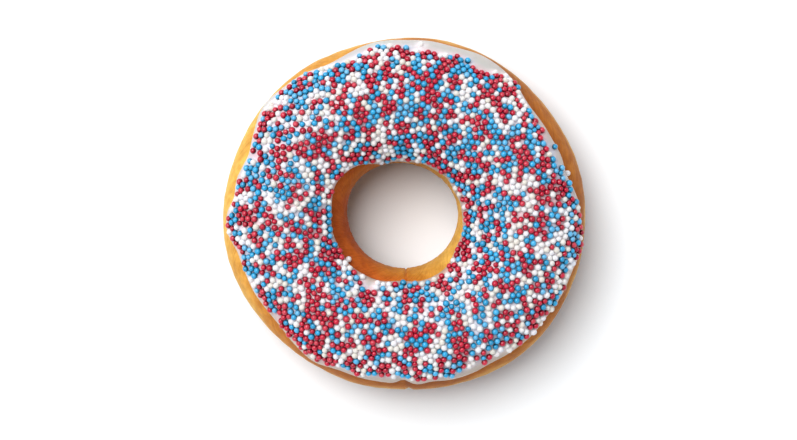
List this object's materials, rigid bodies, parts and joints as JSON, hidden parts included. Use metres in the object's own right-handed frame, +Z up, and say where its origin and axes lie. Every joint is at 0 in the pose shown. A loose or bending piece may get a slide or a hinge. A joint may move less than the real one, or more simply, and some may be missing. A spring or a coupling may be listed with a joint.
{
  "type": "frosted ring doughnut",
  "caption": "Ring doughnut of fried dough with white icing over the top, covered in small red, blue and white sugar pearls.",
  "frame": {"origin": "on the surface the doughnut rests on, under the middle of the ring", "axes": "+Z up through the hole, +X to the right and +Y to the top of the picture, which looks straight down"},
  "size_m": [0.0905, 0.0879, 0.0312],
  "materials": {
    "crust": "golden brown fried dough, soft sheen",
    "frosting": "white sugar icing, smooth and a little glossy"
  },
  "bodies": {
    "root": {"dough": "crust", "icing": "frosting"}
  },
  "joints": []
}
